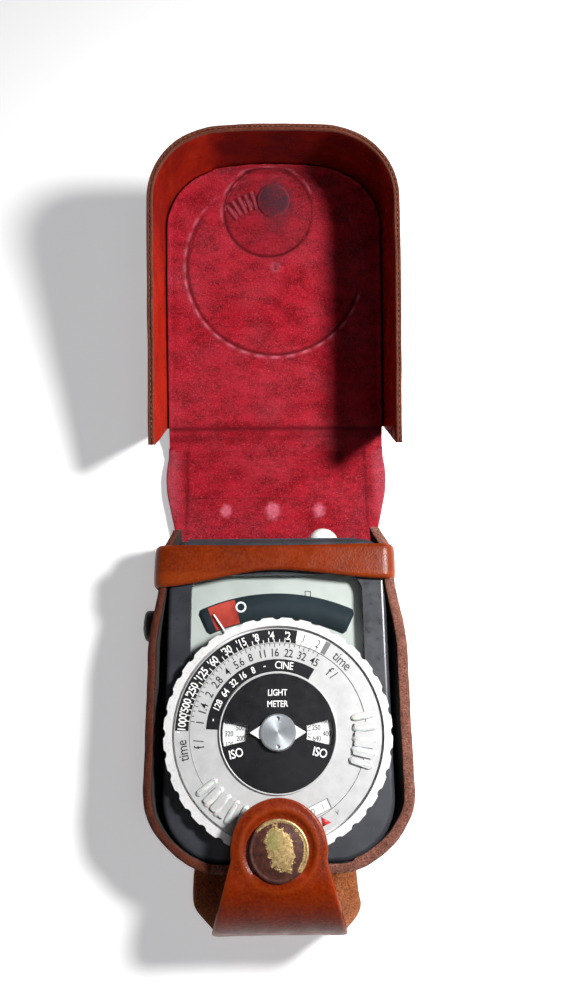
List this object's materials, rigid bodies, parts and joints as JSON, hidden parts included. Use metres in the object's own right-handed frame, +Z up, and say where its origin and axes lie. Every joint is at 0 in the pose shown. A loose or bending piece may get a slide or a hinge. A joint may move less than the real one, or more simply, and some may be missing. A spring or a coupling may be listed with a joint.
{
  "type": "handheld exposure meter in a leather case",
  "caption": "Pocket exposure meter with a calculator dial, lying in its open hinged leather case with a velvet-lined lid and a snap tongue.",
  "frame": {"origin": "on the case's back face, under the centre of the meter's dial", "axes": "+X to the right of the dial, +Y from the dial towards the lid, +Z up out of the dial's face"},
  "size_m": [0.0602, 0.1858, 0.0471],
  "materials": {
    "leather_outer": "glossy worn leather",
    "leather_liner": "smooth lining leather",
    "velvet": "short pile",
    "shell_plastic": "satin moulded",
    "window_clear": "clear",
    "scale_card": "printed",
    "dial_metal": "satin",
    "dial_black": "satin black",
    "dial_white": "printed white",
    "brass": "tarnished",
    "steel": "brushed",
    "opal": "milky white",
    "dark_metal": "blackened",
    "board": "laminate",
    "black_plastic": "moulded"
  },
  "bodies": {
    "case": {"tray_back": "leather_outer", "tray_wall": "leather_outer", "tray_lining": "velvet", "retaining_strap": "leather_outer", "strap_rivets": "brass", "lanyard_tab": "leather_outer", "tongue_base": "leather_outer", "rear_shell": "shell_plastic", "front_shell": "shell_plastic", "window": "window_clear", "scale_plate": "scale_card", "shell_screws": "steel", "photocell": "dark_metal", "cell_window": "window_clear", "slider_rails": "dark_metal", "movement_bridge": "brass", "yoke": "steel", "core_magnet": "steel", "bearing_screws": "steel", "resistor_track": "board", "circuit_board": "board", "board_resistors": "board", "calibration_trimmer": "black_plastic", "battery": "steel", "battery_contacts": "brass", "switch_contacts": "brass", "switch_block": "board"},
    "hinge_strip": {"hinge_panel": "leather_outer", "hinge_lining": "velvet"},
    "lid": {"lid_panel": "leather_outer", "lid_wall": "leather_outer", "lid_wall_liner": "leather_liner", "lid_lining": "velvet", "lid_stud": "brass", "stud_washer": "dark_metal"},
    "tongue_flap": {"tongue": "leather_outer", "snap_cap": "brass", "snap_socket": "brass"},
    "dial": {"dial_ring": "dial_metal", "f_number_disc": "dial_white", "centre_disc": "dial_black", "hub": "dial_metal", "hub_nut": "dial_metal", "dial_spindle": "steel", "wiper": "brass"},
    "speed_setting": {"dial_plate": "dial_metal", "speed_disc": "dial_white"},
    "pointer": {"needle": "dial_white", "coil_frame": "dial_metal", "hairspring": "brass"},
    "button": {"power_button": "black_plastic"},
    "dome": {"dome_slider": "black_plastic", "incident_dome": "opal"},
    "battery_lid": {"battery_cover": "dial_metal"},
    "zero_screw": {"zero_adjust_screw": "steel"}
  },
  "joints": [
    {"name": "top_fold", "type": "hinge", "parent": "case", "child": "hinge_strip", "pos_m": [0, 0.0474, 0.0021], "axis": [1, 0, 0], "range_deg": [0, 90]},
    {"name": "lid_fold", "type": "hinge", "parent": "hinge_strip", "child": "lid", "pos_m": [0, 0.0701, 0.0021], "axis": [1, 0, 0], "range_deg": [-17.5, 72.5]},
    {"name": "tongue_fold", "type": "hinge", "parent": "case", "child": "tongue_flap", "pos_m": [0, -0.0343, 0.0032], "axis": [1, 0, 0], "range_deg": [0, 54]},
    {"name": "dial_turn", "type": "hinge", "parent": "case", "child": "dial", "pos_m": [0, 0, 0.0205], "axis": [0, 0, 1], "range_deg": [-150, 150]},
    {"name": "speed_turn", "type": "hinge", "parent": "dial", "child": "speed_setting", "pos_m": [0, 0, 0.0215], "axis": [0, 0, 1], "range_deg": [-75, 75]},
    {"name": "needle_swing", "type": "hinge", "parent": "case", "child": "pointer", "pos_m": [0, 0.0047, 0.013], "axis": [0, 0, 1], "range_deg": [-70, 2]},
    {"name": "button_press", "type": "slide", "parent": "case", "child": "button", "axis": [1, 0, 0], "range_m": [0, 0.001], "stiffness_N_per_m": 300, "springref_m": -0.0005},
    {"name": "dome_slide", "type": "slide", "parent": "case", "child": "dome", "axis": [1, 0, 0], "range_m": [-0.0243, 0]},
    {"name": "cover_turn", "type": "hinge", "parent": "case", "child": "battery_lid", "pos_m": [-0.0115, -0.0125, 0.002], "axis": [0, 0, 1], "range_deg": [0, 60]},
    {"name": "zero_turn", "type": "hinge", "parent": "case", "child": "zero_screw", "pos_m": [0.006, 0.0135, 0.002], "axis": [0, 0, 1], "range_deg": [-45, 45]}
  ],
  "couplings": [
    {"joint": "tongue_fold", "follows": "top_fold", "ratio": 0.6}
  ]
}
